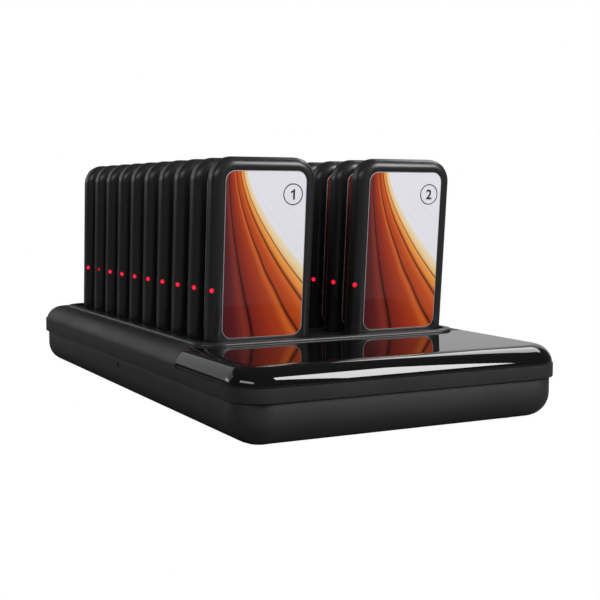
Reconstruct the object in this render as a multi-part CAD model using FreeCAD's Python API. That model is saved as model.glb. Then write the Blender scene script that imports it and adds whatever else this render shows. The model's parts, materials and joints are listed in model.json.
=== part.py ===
import FreeCAD, Part
import math
import os

# Charging base with two rows of leaning pocket pagers, for calling guests.
# Millimetres. X runs across the base, Y from front to back, Z up.
# The origin is on the table, under the middle of the base.

os.makedirs("parts", exist_ok=True)
V = FreeCAD.Vector

# ---- Base, outside ----
BASE_HALF_WIDTH = 100.3
BASE_HALF_DEPTH = 184.7
BASE_CORNER = 20.0
FOOT_HEIGHT = 2.4
PARTING_Z = 25.0
CREASE_Z = 34.6
TOP_Z = 43.0
LOWER_INSET = 2.0        # the upper band overhangs the lower shell
BOTTOM_ROUND = 13.6
SHOULDER_INSET = 0.5     # step at the crease
SHOULDER_ROUND = 11.0
INNER_TIGHTER = 1.0      # how much less the layers under the surface are rounded
WALL = 2.4
BAND_WALL = 3.0
LIP_CHAMFER = 0.6
PANEL_LOW_Z = 32.6       # lower edge of the gloss panel, below the crease
PANEL_THICKNESS = 2.0
PANEL_GLUE_GAP = 0.1
PANEL_REAR_Y = -98.0
PANEL_CORNER = 3.0
UNDERLAY = 2.2           # ledge of the upper shell that carries the panel
UNDERLAY_OVERLAP = 3.0
BOSS_PANEL_GAP = 0.1

# ---- Raised tray with the pager pockets ----
TRAY_HALF_WIDTH = 86.0
TRAY_FRONT_Y = -102.0
TRAY_REAR_Y = 169.9
TRAY_CORNER = 15.0
TRAY_TOP_Z = 44.6
TRAY_ROUND = 1.4
TRAY_FLANGE = 1.8        # lies over the edge of the opening
RIM_WIDTH = 4.5
DECK_Z = 42.8
DECK_THICKNESS = 2.2
POCKET_WALL = 1.6
POCKET_CLEARANCE = 0.5
POCKET_FLOOR_GAP = 0.25

# ---- Pagers ----
PAGERS_PER_ROW = 10
ROW_X = 45.6
PAGER_PITCH = 25.7
FIRST_PAGER_Y = -94.4
LABEL_BOTTOM_Z = 45.9
LEAN = 4.8               # degrees, tops towards the front
PAGER_WIDTH = 64.0
PAGER_THICKNESS = 12.6
PAGER_TOP = 101.2        # above the lower edge of the label
PAGER_BOTTOM = -15.0
PAGER_CORNER = 13.0
PAGER_EDGE_ROUND = 5.0
PAGER_WALL = 1.8
SPLIT_V = 7.6            # parting plane between front shell and rear cover
LABEL_WIDTH = 50.0
LABEL_HEIGHT = 94.1
LABEL_CORNER = 6.0
WINDOW_THICKNESS = 1.0
LABEL_SHEET = 0.2
LIGHT_W = 27.4           # light guide above the lower edge of the label
LIGHT_ANGLE = 40.0       # degrees from the side towards the face, round the edge
LIGHT_RADIUS = 1.5
PAD_U = 10.0             # charge pads, each side of the middle
PAD_V = 6.2
PAD_HALF_WIDTH = 3.0
PAD_HALF_DEPTH = 1.2
PAD_GAP = 0.05

# ---- Inside a pager, in its own axes: u across, v into its thickness, w up its face ----
PAGER_SCREWS = [(u, w) for u in (-23.5, 23.5) for w in (-8.5, 94.5)]
PAGER_BOSS_RADIUS = 2.2
PAGER_HEAD_RADIUS = 1.8
PAGER_HEAD_HEIGHT = 1.2
PAGER_HEAD_RECESS = 2.4
PAGER_WELL_RADIUS = 2.0
PAGER_SHANK_RADIUS = 0.75
PAGER_BOARD = (-25.5, 25.5, 8.0, 9.0, -4.0, 90.0)   # u0, u1, v0, v1, w0, w1
PAGER_CHIPS = [                                      # u0, u1, height, w0, w1
    (-8.0, 4.0, 1.2, 30.0, 42.0), (10.0, 16.0, 1.0, 44.0, 50.0), (-20.0, -14.0, 1.5, 12.0, 24.0),
]
BATTERY = (-17.0, 17.0, 3.0, 7.2, 6.0, 62.0)
MOTOR_V = 5.3
MOTOR_W = 86.0
MOTOR_RADIUS = 2.6
MOTOR_U = (-2.0, 9.0)
WEIGHT_U = -6.5
WEIGHT_LENGTH = 4.0
PAGER_BUZZER_UW = (-16.0, 76.0)
BUZZER_V = (3.4, 7.6)
COIL_U = (12.0, 24.0)
COIL_V = 5.6
COIL_W = 74.0
COIL_RADIUS = 2.2
COIL_BORE = 1.6

# ---- Boards and contacts in the base ----
BOARD = 1.6
LOW_BOARD_Z = 9.0
CHARGE_BOARD_Z = 25.6
CHARGE_BOARD_HALF_WIDTH = 28.0
CHARGE_BOARD_Y = (FIRST_PAGER_Y - 4.0, FIRST_PAGER_Y + (PAGERS_PER_ROW - 1) * PAGER_PITCH + 22.0)
MAIN_BOARD = (-62.0, 62.0, -168.0, -108.0)     # x0, x1, y0, y1
POWER_BOARD = (18.0, 76.0, 146.0, 176.0)
TOUCH_BOARD = (-80.0, 80.0, -172.0, -108.0)
FOAM_THICKNESS = 0.6
TOUCH_BOARD_TOP_Z = TOP_Z - PANEL_THICKNESS - UNDERLAY - FOAM_THICKNESS
FOAM_STRIPS_Y = (-160.0, -120.0)
FOAM_STRIP = (60.0, 8.0)                       # half length and width
DISPLAY = (-25.0, 25.0, -147.0, -128.0)
DISPLAY_HEIGHT = 7.0
CHIPS = [                                      # x0, x1, y0, y1, height
    (-14.0, -2.0, -140.0, -128.0, 1.4), (4.0, 10.0, -138.0, -130.0, 1.2),
    (40.0, 52.0, -132.0, -120.0, 6.0), (28.0, 38.0, -162.0, -153.0, 2.4),
]
CAPACITORS_XY = [(44.0, -152.0), (53.0, -152.0)]
CAPACITOR_RADIUS = 4.0
CAPACITOR_HEIGHT = 9.0
SHIELD = (-56.0, -28.0, -158.0, -136.0)
SHIELD_HEIGHT = 3.2
SHIELD_SHEET = 0.3
BASE_BUZZER_XY = (18.0, -144.0)
BUZZER_RADIUS = 6.0
BASE_BUZZER_HEIGHT = 7.5
ANTENNA_X = -93.0
ANTENNA_Z = 20.0
ANTENNA_Y = (-130.0, 36.0)
ANTENNA_RADIUS = 0.9
RIBBON_Y = -115.0
RIBBON_PLUG = (8.0, 2.0)                       # half width and half depth
RIBBON_TAPE = (7.0, 0.3)
LEAD_XS = (30.0, 32.4)
LEAD_Y = (-112.0, 149.0)
LEAD_RADIUS = 0.8
PIN_RADIUS = 1.0
PIN_HOLE_RADIUS = 1.3
PIN_GAP = 0.15

# ---- Fasteners and feet ----
CASE_SCREW_XY = [(sx * 87.5, y) for sx in (-1, 1) for y in (-70.0, 30.0, 130.0)]
CASE_SCREW_XY += [(sx * 70.0, -165.0) for sx in (-1, 1)]
CASE_SCREW_RADIUS = 1.5
CASE_SCREW_HOLE = 1.6
CASE_HEAD_RADIUS = 2.9
CASE_HEAD_HEIGHT = 2.0
CASE_HEAD_RECESS = 5.0
LOWER_BOSS_RADIUS = 4.4
UPPER_BOSS_RADIUS = 3.4
BOSS_MEET_Z = 22.0
FOOT_RADIUS = 7.0
FOOT_RECESS = 0.4
FEET_XY = [(sx * 76.0, y) for sx in (-1, 1) for y in (-155.0, 158.0)]
BOARD_SCREW_RADIUS = 1.2
BOARD_HEAD_RADIUS = 2.3
BOARD_HEAD_HEIGHT = 1.5
BOARD_SCREW_LENGTH = 3.0
POST_RADIUS = 2.8

# ---- Rear connections ----
INLET_X = 62.0
INLET_Z = 17.0
INLET_HOLE_RADIUS = 3.4
INLET_BORE_RADIUS = 2.8
INLET_BORE_DEPTH = 9.5
INLET_PIN_RADIUS = 1.05
INLET_SETBACK = 1.6      # body behind the rear wall
INLET_BODY_HALF = 4.6
INLET_BODY_DEPTH = 14.0
SWITCH_X = 34.0
SWITCH_Z = 19.2
SWITCH_CUT_WIDTH = 13.4
SWITCH_CUT_HEIGHT = 8.6
SWITCH_THROW = 16.0      # degrees between off and on
SWITCH_BEZEL = 0.9
SWITCH_DEPTH = 12.0
PIVOT_RADIUS = 0.8
PIVOT_REACH = 3.9
PIVOT_SETBACK = 1.0


def block(x0, x1, y0, y1, z0, z1):
    return Part.makeBox(x1 - x0, y1 - y0, z1 - z0, V(x0, y0, z0))


def rod(radius, start, end):
    along = end.sub(start)
    return Part.makeCylinder(radius, along.Length, start, along)


def outline(x0, x1, y0, y1, radius, z):
    """A rounded rectangle at height z."""
    bend = radius * (1 - math.sqrt(0.5))
    points = [
        (x0 + radius, y0), (x1 - radius, y0),
        (x1, y0 + radius), (x1, y1 - radius),
        (x1 - radius, y1), (x0 + radius, y1),
        (x0, y1 - radius), (x0, y0 + radius),
    ]
    middles = [
        (x1 - bend, y0 + bend), (x1 - bend, y1 - bend),
        (x0 + bend, y1 - bend), (x0 + bend, y0 + bend),
    ]
    edges = []
    for i in range(4):
        a, b = points[2 * i], points[2 * i + 1]
        c = points[(2 * i + 2) % 8]
        edges.append(Part.LineSegment(V(*a, z), V(*b, z)).toShape())
        edges.append(Part.Arc(V(*b, z), V(*middles[i], z), V(*c, z)).toShape())
    return Part.Wire(edges)


def rounded_block(x0, x1, y0, y1, z0, z1, radius):
    return Part.Face(outline(x0, x1, y0, y1, radius, z0)).extrude(V(0, 0, z1 - z0))


def level_edges(shape, z):
    """The edges that lie whole at height z."""
    return [e for e in shape.Edges
            if abs(e.BoundBox.ZMin - z) < 1e-4 and abs(e.BoundBox.ZMax - z) < 1e-4]


def join(shapes):
    whole = shapes[0].fuse(shapes[1:]) if len(shapes) > 1 else shapes[0]
    return whole.removeSplitter()


def save(name, *shapes):
    """Each shape's solids, in one file."""
    solids = [s for shape in shapes for s in shape.Solids]
    whole = solids[0] if len(solids) == 1 else Part.makeCompound(solids)
    assert whole.isValid(), name
    whole.exportStep(f"parts/{name}.step")
    return whole


# ---- Base housing ----

def base_block(inset, z0, z1):
    """The base's plan outline, inset all round, as a block."""
    w, d = BASE_HALF_WIDTH - inset, BASE_HALF_DEPTH - inset
    return rounded_block(-w, w, -d, d, z0, z1, BASE_CORNER - inset)


def tray_block(inset, z0, z1):
    """The raised tray's plan outline, inset all round, as a block."""
    w = TRAY_HALF_WIDTH - inset
    y0, y1 = TRAY_FRONT_Y + inset, TRAY_REAR_Y - inset
    return rounded_block(-w, w, y0, y1, z0, z1, TRAY_CORNER - inset)


def shoulder(depth, z0):
    """The rounded top of the base, with its skin peeled off by depth.

    The inner layers are rounded more tightly, so that they are upright at the panel's lower edge.
    """
    top = TOP_Z - depth
    radius = SHOULDER_ROUND - depth - (INNER_TIGHTER if depth else 0)
    body = base_block(SHOULDER_INSET + depth, z0, top)
    return body.makeFillet(radius, level_edges(body, top))


def lower_body(inset):
    z0, z1 = FOOT_HEIGHT + inset, PARTING_Z
    body = base_block(LOWER_INSET + inset, z0, z1)
    return body.makeFillet(BOTTOM_ROUND - inset, level_edges(body, z0))


def build_lower_shell():
    shell = lower_body(0).cut(lower_body(WALL))
    lip = base_block(BAND_WALL + 0.2, PARTING_Z - 3.0, PARTING_Z + 2.5)
    lip = lip.cut(base_block(BAND_WALL + 1.6, PARTING_Z - 3.0, PARTING_Z + 2.5))
    floor = FOOT_HEIGHT + WALL
    bosses = [rod(LOWER_BOSS_RADIUS, V(x, y, FOOT_HEIGHT), V(x, y, BOSS_MEET_Z))
              for x, y in CASE_SCREW_XY]
    bosses = [b.common(lower_body(0)) for b in bosses]
    posts = [rod(POST_RADIUS, V(x, y, floor - 1), V(x, y, z))
             for x, y, z in BOARD_SCREWS]
    shell = join([shell, lip, *bosses, *posts])
    for x, y in CASE_SCREW_XY:
        shell = shell.cut(rod(CASE_SCREW_HOLE, V(x, y, 0), V(x, y, BOSS_MEET_Z + 1)))
        head_top = FOOT_HEIGHT + CASE_HEAD_RECESS + CASE_HEAD_HEIGHT
        shell = shell.cut(rod(CASE_HEAD_RADIUS + 0.3, V(x, y, 0), V(x, y, head_top)))
    for x, y in FEET_XY:
        recess = rod(FOOT_RADIUS + 0.1, V(x, y, 0), V(x, y, FOOT_HEIGHT + FOOT_RECESS))
        shell = shell.cut(recess)
    for x, y, z in BOARD_SCREWS:
        shell = shell.cut(rod(BOARD_SCREW_RADIUS + 0.1, V(x, y, z - BOARD_SCREW_LENGTH - 0.2),
                              V(x, y, z + 1)))
    back = BASE_HALF_DEPTH
    shell = shell.cut(rod(INLET_HOLE_RADIUS, V(INLET_X, back - 8, INLET_Z),
                          V(INLET_X, back + 1, INLET_Z)))
    half_w, half_h = SWITCH_CUT_WIDTH / 2 + 0.1, SWITCH_CUT_HEIGHT / 2 + 0.1
    shell = shell.cut(block(SWITCH_X - half_w, SWITCH_X + half_w, back - 8, back + 1,
                            SWITCH_Z - half_h, SWITCH_Z + half_h))
    reset_hole = rod(1.4, V(-BASE_HALF_WIDTH - 1, 4.0, 20.5), V(-BASE_HALF_WIDTH + 12, 4.0, 20.5))
    return shell.cut(reset_hole)


def panel_region():
    """The space of the gloss panel: everything above its lower edge, ahead of its rear edge."""
    w, d = BASE_HALF_WIDTH + 5, BASE_HALF_DEPTH + 5
    region = block(-w, w, -d, PANEL_REAR_Y, PANEL_LOW_Z, TOP_Z + 5)
    corners = [e for e in level_edges(region, PANEL_LOW_Z)
               if abs(e.BoundBox.YMin - PANEL_REAR_Y) < 1e-4]
    return region.makeFillet(PANEL_CORNER, corners)


def build_upper_shell():
    band = base_block(0, PARTING_Z, CREASE_Z)
    band = band.makeChamfer(LIP_CHAMFER, level_edges(band, PARTING_Z))
    band = band.cut(base_block(BAND_WALL, PARTING_Z, CREASE_Z))
    root = PANEL_LOW_Z - 3
    cap = shoulder(0, root).cut(shoulder(WALL, root))
    outer = join([band, cap]).cut(panel_region())
    under = shoulder(PANEL_THICKNESS, root)
    under = under.cut(shoulder(PANEL_THICKNESS + UNDERLAY, root))
    reach = block(-BASE_HALF_WIDTH, BASE_HALF_WIDTH, -BASE_HALF_DEPTH,
                  PANEL_REAR_Y + UNDERLAY_OVERLAP, CREASE_Z - 5, TOP_Z + 5)
    bosses = [rod(UPPER_BOSS_RADIUS, V(x, y, BOSS_MEET_Z), V(x, y, TOP_Z - 1.0))
              .common(shoulder(PANEL_THICKNESS + BOSS_PANEL_GAP, 0)) for x, y in CASE_SCREW_XY]
    shell = join([outer, under.common(reach), *bosses])
    for x, y in CASE_SCREW_XY:
        shell = shell.cut(rod(CASE_SCREW_HOLE, V(x, y, BOSS_MEET_Z - 1), V(x, y, BOSS_MEET_Z + 11)))
    return shell.cut(tray_block(TRAY_FLANGE, CREASE_Z - 10, TOP_Z + 1))


def build_gloss_panel():
    root = PANEL_LOW_Z - 3
    skin = shoulder(0, root).cut(shoulder(PANEL_THICKNESS - PANEL_GLUE_GAP, root))
    skin = skin.common(panel_region())
    return skin.cut(tray_block(TRAY_FLANGE, CREASE_Z - 1, TOP_Z + 1))


# ---- Pager positions ----

def pager_places():
    """(number, x, y) for each pager. Odd numbers stand on the left, even on the right."""
    for row, x in enumerate((-ROW_X, ROW_X)):
        for k in range(PAGERS_PER_ROW):
            yield 2 * k + 1 + row, x, FIRST_PAGER_Y + k * PAGER_PITCH


def placed(shape, x, y):
    """A shape from the pager's own axes, leaned and set at its place."""
    copy = shape.copy()
    copy.rotate(V(0, 0, 0), V(1, 0, 0), LEAN)
    copy.translate(V(x, y, LABEL_BOTTOM_Z))
    return copy


def pin_top(y):
    """Height of the pager's underside at the charge pads."""
    lean = math.radians(LEAN)
    return LABEL_BOTTOM_Z + PAGER_BOTTOM * math.cos(lean) + PAD_V * math.sin(lean)


def pad_y(y):
    lean = math.radians(LEAN)
    return y + PAD_V * math.cos(lean) - PAGER_BOTTOM * math.sin(lean)


def pocket(wall, floor, top):
    """A pocket's space in the pager's own axes; wall and floor thicken it to its outside."""
    side = PAGER_WIDTH / 2 + POCKET_CLEARANCE + wall
    return block(-side, side, -POCKET_CLEARANCE - wall,
                 PAGER_THICKNESS + POCKET_CLEARANCE + wall,
                 PAGER_BOTTOM - POCKET_FLOOR_GAP - floor, top)


def build_tray():
    flange = tray_block(0, TOP_Z, TRAY_TOP_Z)
    flange = flange.makeFillet(TRAY_ROUND, level_edges(flange, TRAY_TOP_Z))
    deck = tray_block(TRAY_FLANGE + 0.2, DECK_Z - DECK_THICKNESS, TOP_Z)
    tray = flange.fuse(deck)
    tray = tray.cut(tray_block(RIM_WIDTH, DECK_Z, TRAY_TOP_Z + 1))
    skirt = tray_block(TRAY_FLANGE + 0.2, CREASE_Z - 2, TOP_Z)
    skirt = skirt.cut(tray_block(TRAY_FLANGE + 2.0, CREASE_Z - 2, TOP_Z))
    solids = [tray, skirt]
    below_deck = tray_block(TRAY_FLANGE + 0.2, 0, DECK_Z - 0.5)
    for _, x, y in pager_places():
        outside = placed(pocket(POCKET_WALL, POCKET_WALL, 10), x, y)
        solids.append(outside.common(below_deck))
    tray = join(solids)
    holes = [placed(pocket(0, 0, 30), x, y) for _, x, y in pager_places()]
    for _, x, y in pager_places():
        for side in (-1, 1):
            px = x + side * PAD_U
            holes.append(rod(PIN_HOLE_RADIUS, V(px, pad_y(y), 20), V(px, pad_y(y), 35)))
    return tray.cut(Part.makeCompound(holes))


# ---- Boards ----

def board_screw_places():
    """(x, y, height of the board's underside) for each board screw."""
    places = []
    for x in (-ROW_X, ROW_X):
        for side in (-1, 1):
            for y in (CHARGE_BOARD_Y[0] + 1.2 + PAGER_PITCH, CHARGE_BOARD_Y[1] - 3.0 - PAGER_PITCH):
                places.append((x + side * 22.0, y, CHARGE_BOARD_Z))
    for corner in ((-1, -1), (-1, 1), (1, -1), (1, 1)):
        x = corner[0] * (MAIN_BOARD[1] - 5)
        y = MAIN_BOARD[2] + 5 if corner[1] < 0 else MAIN_BOARD[3] - 5
        places.append((x, y, LOW_BOARD_Z))
    for x in (POWER_BOARD[0] + 4, POWER_BOARD[1] - 4):
        places.append((x, POWER_BOARD[2] + 4, LOW_BOARD_Z))
    return places


BOARD_SCREWS = board_screw_places()


def build_board(x0, x1, y0, y1, z):
    board = rounded_block(x0, x1, y0, y1, z, z + BOARD, 1.5)
    for x, y, height in BOARD_SCREWS:
        if height == z and x0 < x < x1 and y0 < y < y1:
            board = board.cut(rod(BOARD_SCREW_RADIUS + 0.1, V(x, y, z - 1), V(x, y, z + BOARD + 1)))
    return board


def build_charge_board(x):
    return build_board(x - CHARGE_BOARD_HALF_WIDTH, x + CHARGE_BOARD_HALF_WIDTH,
                       *CHARGE_BOARD_Y, CHARGE_BOARD_Z)


def build_charge_pins(x):
    pins = []
    for k in range(PAGERS_PER_ROW):
        y = FIRST_PAGER_Y + k * PAGER_PITCH
        for side in (-1, 1):
            px, py = x + side * PAD_U, pad_y(y)
            foot = rod(PIN_RADIUS + 0.8, V(px, py, CHARGE_BOARD_Z + BOARD),
                       V(px, py, CHARGE_BOARD_Z + BOARD + 1.2))
            pin = rod(PIN_RADIUS, V(px, py, CHARGE_BOARD_Z + BOARD), V(px, py, pin_top(y) - PIN_GAP))
            pins.append(join([foot, pin]))
    return Part.makeCompound(pins)


def build_board_screws():
    screws = []
    for x, y, z in BOARD_SCREWS:
        head = rod(BOARD_HEAD_RADIUS, V(x, y, z + BOARD), V(x, y, z + BOARD + BOARD_HEAD_HEIGHT))
        cross = [block(x - 1.3, x + 1.3, y - 0.3, y + 0.3, z + BOARD + 0.8, z + BOARD + 3),
                 block(x - 0.3, x + 0.3, y - 1.3, y + 1.3, z + BOARD + 0.8, z + BOARD + 3)]
        shank = rod(BOARD_SCREW_RADIUS, V(x, y, z - BOARD_SCREW_LENGTH), V(x, y, z + BOARD))
        screws.append(join([head.cut(join(cross)), shank]))
    return Part.makeCompound(screws)


def build_case_screws():
    screws = []
    for x, y in CASE_SCREW_XY:
        z = FOOT_HEIGHT + CASE_HEAD_RECESS
        head = rod(CASE_HEAD_RADIUS, V(x, y, z), V(x, y, z + CASE_HEAD_HEIGHT))
        cross = [block(x - 1.7, x + 1.7, y - 0.4, y + 0.4, z - 1, z + 1.1),
                 block(x - 0.4, x + 0.4, y - 1.7, y + 1.7, z - 1, z + 1.1)]
        shank = rod(CASE_SCREW_RADIUS, V(x, y, z + CASE_HEAD_HEIGHT), V(x, y, BOSS_MEET_Z + 10))
        screws.append(join([head.cut(join(cross)), shank]))
    return Part.makeCompound(screws)


def build_feet():
    feet = []
    for x, y in FEET_XY:
        foot = rod(FOOT_RADIUS, V(x, y, 0), V(x, y, FOOT_HEIGHT + FOOT_RECESS))
        feet.append(foot.makeFillet(0.8, level_edges(foot, 0)))
    return Part.makeCompound(feet)


def build_components():
    """Controller, memory, regulator, inductor and capacitors on the main board."""
    z = LOW_BOARD_Z + BOARD
    parts = [block(*place, z, z + height) for *place, height in CHIPS]
    parts += [rod(CAPACITOR_RADIUS, V(x, y, z), V(x, y, z + CAPACITOR_HEIGHT))
              for x, y in CAPACITORS_XY]
    return Part.makeCompound(parts)


def build_shield_can():
    z = LOW_BOARD_Z + BOARD
    can = block(*SHIELD, z, z + SHIELD_HEIGHT)
    can = can.makeFillet(0.8, level_edges(can, z + SHIELD_HEIGHT))
    x0, x1, y0, y1 = SHIELD
    return can.cut(block(x0 + SHIELD_SHEET, x1 - SHIELD_SHEET, y0 + SHIELD_SHEET,
                         y1 - SHIELD_SHEET, z, z + SHIELD_HEIGHT - SHIELD_SHEET))


def build_buzzer():
    z = LOW_BOARD_Z + BOARD
    top = z + BASE_BUZZER_HEIGHT
    body = rod(BUZZER_RADIUS, V(*BASE_BUZZER_XY, z), V(*BASE_BUZZER_XY, top))
    body = body.makeFillet(0.6, level_edges(body, top))
    return body.cut(rod(1.2, V(*BASE_BUZZER_XY, top - 2.5), V(*BASE_BUZZER_XY, top + 0.5)))


def build_antenna_wire():
    """Quarter-wave lead clipped along the left wall."""
    ends = [V(ANTENNA_X, y, ANTENNA_Z) for y in ANTENNA_Y]
    return rod(ANTENNA_RADIUS, *ends)


def build_touch_board():
    board = rounded_block(*TOUCH_BOARD, TOUCH_BOARD_TOP_Z - BOARD, TOUCH_BOARD_TOP_Z, 3)
    for x, y in CASE_SCREW_XY:
        board = board.cut(rod(UPPER_BOSS_RADIUS + 0.5, V(x, y, 0), V(x, y, 60)))
    return board


def build_touch_foam():
    """Foam that holds the key board up against the panel."""
    half_length, width = FOAM_STRIP
    return Part.makeCompound([
        block(-half_length, half_length, y, y + width,
              TOUCH_BOARD_TOP_Z, TOUCH_BOARD_TOP_Z + FOAM_THICKNESS) for y in FOAM_STRIPS_Y])


def build_display():
    z = TOUCH_BOARD_TOP_Z - BOARD
    return block(*DISPLAY, z - DISPLAY_HEIGHT, z)


def build_ribbon():
    z0, z1 = LOW_BOARD_Z + BOARD, TOUCH_BOARD_TOP_Z - BOARD
    (plug_w, plug_d), (tape_w, tape_d) = RIBBON_PLUG, RIBBON_TAPE
    plugs = [block(-plug_w, plug_w, RIBBON_Y - plug_d, RIBBON_Y + plug_d, *heights)
             for heights in ((z0, z0 + 4), (z1 - 3, z1))]
    tape = block(-tape_w, tape_w, RIBBON_Y - tape_d, RIBBON_Y + tape_d, z0 + 4, z1 - 3)
    return join([*plugs, tape])


def build_power_leads():
    z = LOW_BOARD_Z + BOARD + LEAD_RADIUS
    return Part.makeCompound([rod(LEAD_RADIUS, V(x, LEAD_Y[0], z), V(x, LEAD_Y[1], z))
                              for x in LEAD_XS])


def build_inlet():
    """Barrel socket for the mains adapter, with its centre pin."""
    wall = BASE_HALF_DEPTH - LOWER_INSET - WALL
    mouth = wall + 1.8
    body = block(INLET_X - INLET_BODY_HALF, INLET_X + INLET_BODY_HALF,
                 wall - INLET_BODY_DEPTH, wall - INLET_SETBACK,
                 LOW_BOARD_Z + BOARD, INLET_Z + INLET_BODY_HALF + 0.2)
    nose = rod(INLET_HOLE_RADIUS - 0.1, V(INLET_X, wall - INLET_SETBACK, INLET_Z),
               V(INLET_X, mouth, INLET_Z))
    body = join([body, nose])
    body = body.cut(rod(INLET_BORE_RADIUS, V(INLET_X, mouth - INLET_BORE_DEPTH, INLET_Z),
                        V(INLET_X, mouth + 1, INLET_Z)))
    pin = rod(INLET_PIN_RADIUS, V(INLET_X, mouth - INLET_BORE_DEPTH - 1, INLET_Z),
              V(INLET_X, mouth - 1, INLET_Z))
    return join([body, pin])


def build_switch_frame():
    wall = BASE_HALF_DEPTH - LOWER_INSET
    half_w, half_h = SWITCH_CUT_WIDTH / 2, SWITCH_CUT_HEIGHT / 2
    bezel = block(SWITCH_X - half_w - SWITCH_BEZEL, SWITCH_X + half_w + SWITCH_BEZEL,
                  wall, wall + 1.4, SWITCH_Z - half_h - SWITCH_BEZEL,
                  SWITCH_Z + half_h + SWITCH_BEZEL)
    body = block(SWITCH_X - half_w, SWITCH_X + half_w, wall - SWITCH_DEPTH, wall,
                 SWITCH_Z - half_h, SWITCH_Z + half_h)
    frame = join([bezel, body])
    inner = block(SWITCH_X - half_w + 1.0, SWITCH_X + half_w - 1.0, wall - 7.5, wall + 2,
                  SWITCH_Z - half_h + 1.0, SWITCH_Z + half_h - 1.0)
    pivot = V(SWITCH_X, wall - PIVOT_SETBACK, SWITCH_Z)
    reach = V(0, 0, PIVOT_REACH + 0.1)
    return frame.cut(inner).cut(rod(PIVOT_RADIUS + 0.05, pivot.sub(reach), pivot.add(reach)))


def build_switch_rocker():
    """Rocker cap, pressed in on its right, turning about an upright pin."""
    wall = BASE_HALF_DEPTH - LOWER_INSET
    half_w = SWITCH_CUT_WIDTH / 2 - 1.6
    half_h = SWITCH_CUT_HEIGHT / 2 - 1.3
    points = [V(-half_w, -3.2, 0), V(half_w, -3.2, 0), V(half_w, 2.2, 0), V(-half_w, 2.2, 0)]
    edges = [Part.LineSegment(points[3], points[0]).toShape(),
             Part.LineSegment(points[0], points[1]).toShape(),
             Part.LineSegment(points[1], points[2]).toShape(),
             Part.Arc(points[2], V(0, 1.2, 0), points[3]).toShape()]
    cap = Part.Face(Part.Wire(edges)).extrude(V(0, 0, 2 * half_h))
    cap.translate(V(0, 0, -half_h))
    cap.rotate(V(0, 0, 0), V(0, 0, 1), -SWITCH_THROW / 2)
    cap = join([cap, rod(PIVOT_RADIUS, V(0, 0, -PIVOT_REACH), V(0, 0, PIVOT_REACH))])
    cap.translate(V(SWITCH_X, wall - PIVOT_SETBACK, SWITCH_Z))
    return cap


# ---- Pager, in its own axes: X across, Y into its thickness, Z up its face ----

def pager_slab(inset):
    """The pager's rounded outline and edges, with its skin peeled off by inset."""
    side = PAGER_WIDTH / 2 - inset
    depth = PAGER_THICKNESS - 2 * inset
    slab = rounded_block(-side, side, PAGER_BOTTOM + inset, PAGER_TOP - inset, 0, depth,
                         PAGER_CORNER - inset)
    edges = level_edges(slab, 0) + level_edges(slab, depth)
    slab = slab.makeFillet(max(PAGER_EDGE_ROUND - inset, 0.8), edges)
    slab.rotate(V(0, 0, 0), V(1, 0, 0), 90)
    slab.translate(V(0, PAGER_THICKNESS - inset, 0))
    return slab


def label_outline(y0, y1, gap):
    side = LABEL_WIDTH / 2 + gap
    plate = rounded_block(-side, side, -gap, LABEL_HEIGHT + gap, 0, y1 - y0, LABEL_CORNER + gap)
    plate.rotate(V(0, 0, 0), V(1, 0, 0), 90)
    plate.translate(V(0, y1, 0))
    return plate


def build_pager_front():
    hollow = pager_slab(0).cut(pager_slab(PAGER_WALL))
    shell = hollow.common(block(-40, 40, -1, SPLIT_V, -30, 120))
    floor = block(-26, 26, 1.0, 2.6, -2, LABEL_HEIGHT + 2)
    bosses = [rod(PAGER_BOSS_RADIUS, V(u, 1.5, w), V(u, SPLIT_V, w)) for u, w in PAGER_SCREWS]
    shell = join([shell, floor, *bosses])
    shell = shell.cut(label_outline(-1, WINDOW_THICKNESS + LABEL_SHEET, 0.1))
    for u, w in PAGER_SCREWS:
        shell = shell.cut(rod(0.8, V(u, 3.5, w), V(u, SPLIT_V + 1, w)))
    for side in (-1, 1):
        half_w, half_d = PAD_HALF_WIDTH + PAD_GAP, PAD_HALF_DEPTH + PAD_GAP
        shell = shell.cut(block(side * PAD_U - half_w, side * PAD_U + half_w, PAD_V - half_d,
                                PAD_V + half_d, PAGER_BOTTOM - 1, PAGER_BOTTOM + 4))
    return shell.cut(rod(LIGHT_RADIUS + 0.05, light_point(1.0), light_point(12.0)))


def light_point(distance):
    """A point on the light guide's line, that far from the middle of the edge's rounding."""
    angle = math.radians(LIGHT_ANGLE)
    return V(PAGER_EDGE_ROUND - PAGER_WIDTH / 2 - distance * math.cos(angle),
             PAGER_EDGE_ROUND - distance * math.sin(angle), LIGHT_W)


def build_pager_rear():
    hollow = pager_slab(0).cut(pager_slab(PAGER_WALL))
    cover = hollow.common(block(-40, 40, SPLIT_V, 20, -30, 120))
    bosses = [rod(PAGER_BOSS_RADIUS, V(u, SPLIT_V, w), V(u, PAGER_THICKNESS - 1, w))
              for u, w in PAGER_SCREWS]
    seat = PAGER_THICKNESS - PAGER_HEAD_RECESS
    cover = join([cover, *bosses])
    for u, w in PAGER_SCREWS:
        cover = cover.cut(rod(1.1, V(u, SPLIT_V - 1, w), V(u, 20, w)))
        cover = cover.cut(rod(PAGER_WELL_RADIUS, V(u, seat, w), V(u, 20, w)))
    return cover


def build_pager_screws():
    screws = []
    seat = PAGER_THICKNESS - PAGER_HEAD_RECESS
    for u, w in PAGER_SCREWS:
        head = rod(PAGER_HEAD_RADIUS, V(u, seat, w), V(u, seat + PAGER_HEAD_HEIGHT, w))
        shank = rod(PAGER_SHANK_RADIUS, V(u, 4.0, w), V(u, seat, w))
        screws.append(join([head, shank]))
    return Part.makeCompound(screws)


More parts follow.
